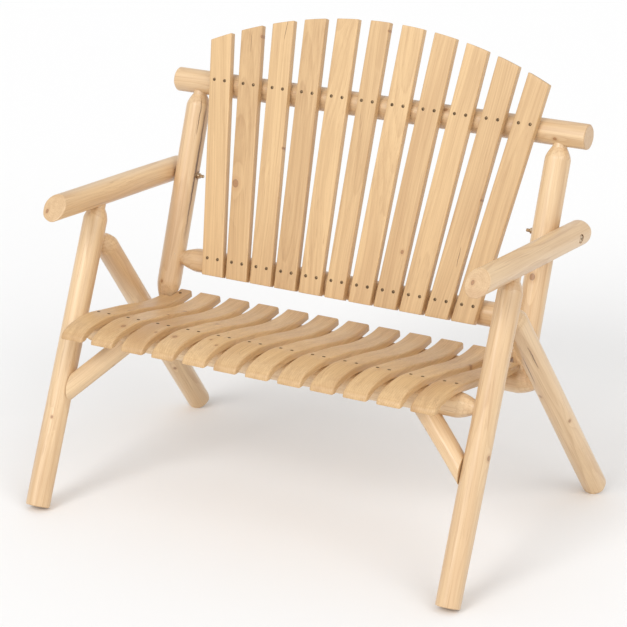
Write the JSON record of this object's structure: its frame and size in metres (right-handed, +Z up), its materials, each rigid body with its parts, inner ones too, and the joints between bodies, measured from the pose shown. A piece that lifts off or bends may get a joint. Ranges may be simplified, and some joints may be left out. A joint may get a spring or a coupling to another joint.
{
  "type": "wooden armchair",
  "caption": "Garden armchair for two, built log-style from peeled round poles, with a fan-shaped slatted back and a scooped slatted seat.",
  "frame": {"origin": "middle of the footprint, on the floor the four feet stand on", "axes": "+X runs across the seat to the sitter's left, which is the right-hand side seen from the front; +Y runs to the back; +Z is up; the chair faces -Y and is the same on both sides of X = 0"},
  "size_m": [1.1412, 0.7615, 1.0593],
  "materials": {
    "pole_wood": "smooth peeled pole under a thin satin varnish",
    "slat_wood": "planed board under a thin satin varnish",
    "steel": "zinc-plated, slightly dulled"
  },
  "bodies": {
    "root": {"front_leg_left": "pole_wood", "rear_leg_left": "pole_wood", "back_post_left": "pole_wood", "armrest_left": "pole_wood", "brace_left": "pole_wood", "arm_bolt_left": "steel", "arm_washer_left": "steel", "arm_nut_left": "steel", "front_leg_right": "pole_wood", "rear_leg_right": "pole_wood", "back_post_right": "pole_wood", "armrest_right": "pole_wood", "brace_right": "pole_wood", "arm_bolt_right": "steel", "arm_washer_right": "steel", "arm_nut_right": "steel", "top_rail": "pole_wood", "lower_back_rail": "pole_wood", "front_seat_rail": "pole_wood", "rear_seat_rail": "pole_wood", "back_slat_01": "slat_wood", "back_slat_02": "slat_wood", "back_slat_03": "slat_wood", "back_slat_04": "slat_wood", "back_slat_05": "slat_wood", "back_slat_06": "slat_wood", "back_slat_07": "slat_wood", "back_slat_08": "slat_wood", "back_slat_09": "slat_wood", "back_slat_10": "slat_wood", "back_slat_11": "slat_wood", "seat_slat_01": "slat_wood", "seat_slat_02": "slat_wood", "seat_slat_03": "slat_wood", "seat_slat_04": "slat_wood", "seat_slat_05": "slat_wood", "seat_slat_06": "slat_wood", "seat_slat_07": "slat_wood", "seat_slat_08": "slat_wood", "seat_slat_09": "slat_wood", "seat_slat_10": "slat_wood", "seat_slat_11": "slat_wood", "seat_slat_12": "slat_wood"}
  },
  "joints": []
}
